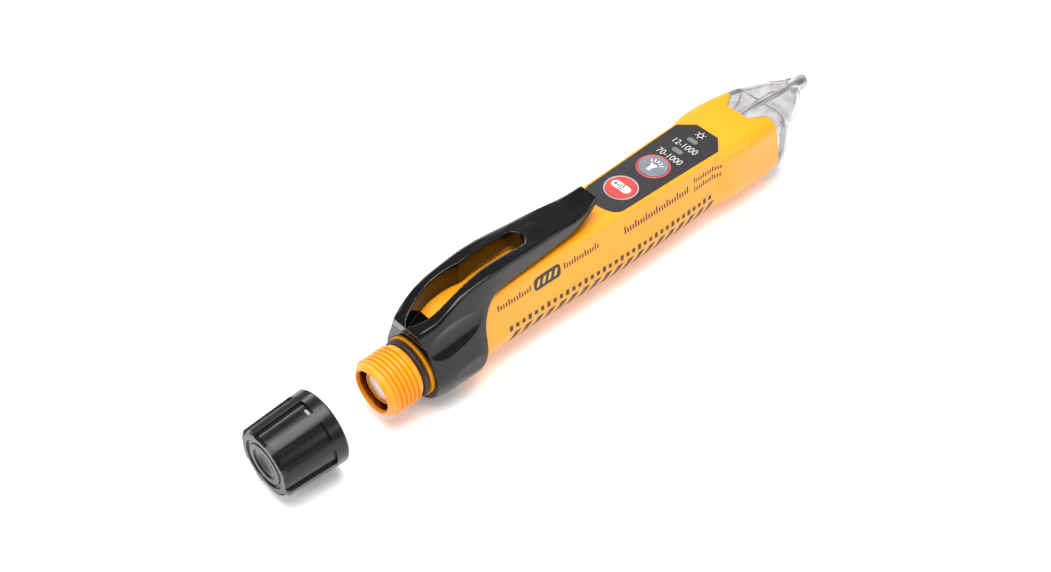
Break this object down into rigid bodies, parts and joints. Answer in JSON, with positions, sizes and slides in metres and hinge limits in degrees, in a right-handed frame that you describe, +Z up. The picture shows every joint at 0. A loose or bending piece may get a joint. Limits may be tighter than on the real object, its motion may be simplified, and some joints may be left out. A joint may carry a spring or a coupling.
{
  "type": "non contact voltage tester",
  "caption": "Pen-shaped non-contact voltage tester with a pocket clip, two push buttons, a clear sensing nose with a torch lamp, and an unscrewed threaded tail cap.",
  "frame": {"origin": "middle of the tool's box in plan, on the level of its lowest point", "axes": "+X runs from the tail cap to the sensing nib, +Z up through the buttons and the clip, +Y across"},
  "size_m": [0.2202, 0.0254, 0.0369],
  "materials": {
    "housing_yellow": "satin moulded plastic",
    "clip_black": "glossy moulded plastic",
    "cap_black": "satin moulded plastic",
    "clear_nose": "clear moulded plastic",
    "seal_rubber": "soft rubber",
    "label_film": "matte film",
    "detect_red": "satin rubberised plastic",
    "torch_grey": "satin rubberised plastic",
    "window_grey": "translucent plastic",
    "sleeve_copper": "bare copper alloy",
    "cell_wrap": "printed cell wrapper with metal ends",
    "spring_steel": "plated spring metal",
    "screw_steel": "zinc plated",
    "antenna_metal": "dull tinned metal",
    "board_green": "solder-masked board",
    "inner_black": "moulded inner plastic",
    "inner_white": "white moulded plastic",
    "lamp_clear": "clear lamp resin"
  },
  "bodies": {
    "tester": {"housing": "housing_yellow", "clip_base": "clip_black", "nose_lens": "clear_nose", "o_ring": "seal_rubber", "nose_seal": "seal_rubber", "label_panel": "label_film", "torch_bezel": "detect_red", "detect_bezel": "torch_grey", "low_range_window": "window_grey", "high_range_window": "window_grey", "contact_sleeve": "sleeve_copper", "rear_cell": "cell_wrap", "front_cell": "cell_wrap", "front_spring": "spring_steel", "front_contact": "spring_steel", "board_screws": "screw_steel", "sensing_antenna": "antenna_metal", "circuit_board": "board_green", "board_carrier": "inner_black", "contact_carrier": "inner_black", "controller_chip": "inner_black", "buzzer": "inner_black", "detect_switch": "inner_black", "torch_switch": "inner_black", "lamp_holder": "inner_white", "low_range_led": "inner_white", "high_range_led": "inner_white", "nose_glow_led": "inner_white", "torch_lamp": "lamp_clear"},
    "detect_key": {"detect_button": "detect_red", "detect_plunger": "inner_white"},
    "torch_key": {"torch_button": "torch_grey", "torch_plunger": "inner_white"},
    "clip_arm": {"clip_arm": "clip_black"},
    "cap_spring": {"cap_spring": "spring_steel"},
    "cap_contact": {"cap_contact": "spring_steel"},
    "tail_cap": {"tail_cap": "cap_black"}
  },
  "joints": [
    {"name": "detect_press", "type": "slide", "parent": "tester", "child": "detect_key", "axis": [0, 0, -1], "range_m": [0, 0.0005], "stiffness_N_per_m": 3000},
    {"name": "torch_press", "type": "slide", "parent": "tester", "child": "torch_key", "axis": [0, 0, -1], "range_m": [0, 0.0005], "stiffness_N_per_m": 3000},
    {"name": "clip_flex", "type": "hinge", "parent": "tester", "child": "clip_arm", "pos_m": [-0.03204, 0, 0.0369], "axis": [0, -1, 0], "range_deg": [0, 3.5], "stiffness_Nm_per_rad": 6.5},
    {"name": "cap_pull", "type": "slide", "parent": "tester", "child": "cap_spring", "axis": [1, 0, 0], "range_m": [0, 0.02185]},
    {"name": "cap_advance", "type": "slide", "parent": "cap_spring", "child": "cap_contact", "axis": [1, 0, 0], "range_m": [0, 0.009], "deforming": ["cap_spring"]},
    {"name": "cap_turn", "type": "hinge", "parent": "cap_contact", "child": "tail_cap", "pos_m": [-0.1001, 0, 0.0127], "axis": [1, 0, 0], "range_deg": [0, 2160]}
  ],
  "couplings": [
    {"joint": "cap_advance", "follows": "cap_turn", "m_per_rad": 0.00023873}
  ]
}
